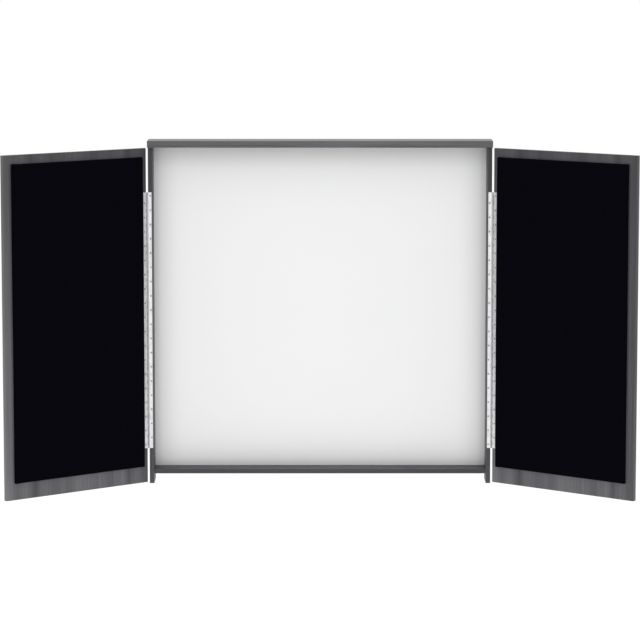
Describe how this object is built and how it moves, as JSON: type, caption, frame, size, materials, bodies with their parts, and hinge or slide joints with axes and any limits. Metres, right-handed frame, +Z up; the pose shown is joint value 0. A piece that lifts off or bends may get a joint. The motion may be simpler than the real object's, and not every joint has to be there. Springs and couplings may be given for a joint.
{
  "type": "whiteboard cabinet",
  "caption": "Shallow square wall cabinet: a recessed dry-erase board behind a pair of full-height hinged doors, each lined with a fabric tack board.",
  "frame": {"origin": "the middle of the wall cleat's back face, on the wall plane; the cabinet hangs from this cleat", "axes": "+X to the viewer's right across the cabinet, +Y into the wall, +Z up; the doors face -Y"},
  "size_m": [2.145, 0.4891, 1.2048],
  "materials": {
    "laminate": "weathered charcoal woodgrain melamine on 16 mm board, satin",
    "whiteboard": "gloss white dry-erase face",
    "rail_wood": "plain sanded softwood",
    "tack_fabric": "black woven fabric over a fibre core, matt",
    "hinge_steel": "nickel-plated steel strip, satin",
    "pin_steel": "drawn steel wire",
    "screw_steel": "zinc-plated steel",
    "cam_zinc": "die-cast zinc, satin",
    "dowel_wood": "plain beech",
    "pull_nickel": "satin nickel"
  },
  "bodies": {
    "cabinet": {"bottom_panel": "laminate", "cabinet_cleat": "rail_wood", "left_bottom_front_bolt": "screw_steel", "left_bottom_front_cam": "cam_zinc", "left_bottom_rear_bolt": "screw_steel", "left_bottom_rear_cam": "cam_zinc", "left_cleat_dowel": "dowel_wood", "left_frame_hinge_leaf": "hinge_steel", "left_frame_hinge_screw_bottom": "screw_steel", "left_frame_hinge_screw_middle": "screw_steel", "left_frame_hinge_screw_top": "screw_steel", "left_hinge_pin": "pin_steel", "left_rail_dowel": "dowel_wood", "left_side_panel": "laminate", "left_top_front_bolt": "screw_steel", "left_top_front_cam": "cam_zinc", "left_top_rear_bolt": "screw_steel", "left_top_rear_cam": "cam_zinc", "lower_back_rail": "rail_wood", "right_bottom_front_bolt": "screw_steel", "right_bottom_front_cam": "cam_zinc", "right_bottom_rear_bolt": "screw_steel", "right_bottom_rear_cam": "cam_zinc", "right_cleat_dowel": "dowel_wood", "right_frame_hinge_leaf": "hinge_steel", "right_frame_hinge_screw_bottom": "screw_steel", "right_frame_hinge_screw_middle": "screw_steel", "right_frame_hinge_screw_top": "screw_steel", "right_hinge_pin": "pin_steel", "right_rail_dowel": "dowel_wood", "right_side_panel": "laminate", "right_top_front_bolt": "screw_steel", "right_top_front_cam": "cam_zinc", "right_top_rear_bolt": "screw_steel", "right_top_rear_cam": "cam_zinc", "top_panel": "laminate", "wall_cleat": "rail_wood", "whiteboard": "whiteboard"},
    "left_door": {"left_door_hinge_leaf": "hinge_steel", "left_door_hinge_screw_bottom": "screw_steel", "left_door_hinge_screw_middle": "screw_steel", "left_door_hinge_screw_top": "screw_steel", "left_door_panel": "laminate", "left_door_pull": "pull_nickel", "left_pull_screw_lower": "screw_steel", "left_pull_screw_upper": "screw_steel", "left_tack_board": "tack_fabric"},
    "right_door": {"right_door_hinge_leaf": "hinge_steel", "right_door_hinge_screw_bottom": "screw_steel", "right_door_hinge_screw_middle": "screw_steel", "right_door_hinge_screw_top": "screw_steel", "right_door_panel": "laminate", "right_door_pull": "pull_nickel", "right_pull_screw_lower": "screw_steel", "right_pull_screw_upper": "screw_steel", "right_tack_board": "tack_fabric"}
  },
  "joints": [
    {"name": "left_door_hinge", "type": "hinge", "parent": "cabinet", "child": "left_door", "pos_m": [-0.6014, -0.1047, -0.4722], "axis": [0, 0, 1], "range_deg": [-45, 140]},
    {"name": "right_door_hinge", "type": "hinge", "parent": "cabinet", "child": "right_door", "pos_m": [0.6014, -0.1047, -0.4722], "axis": [0, 0, -1], "range_deg": [-45, 140]}
  ]
}
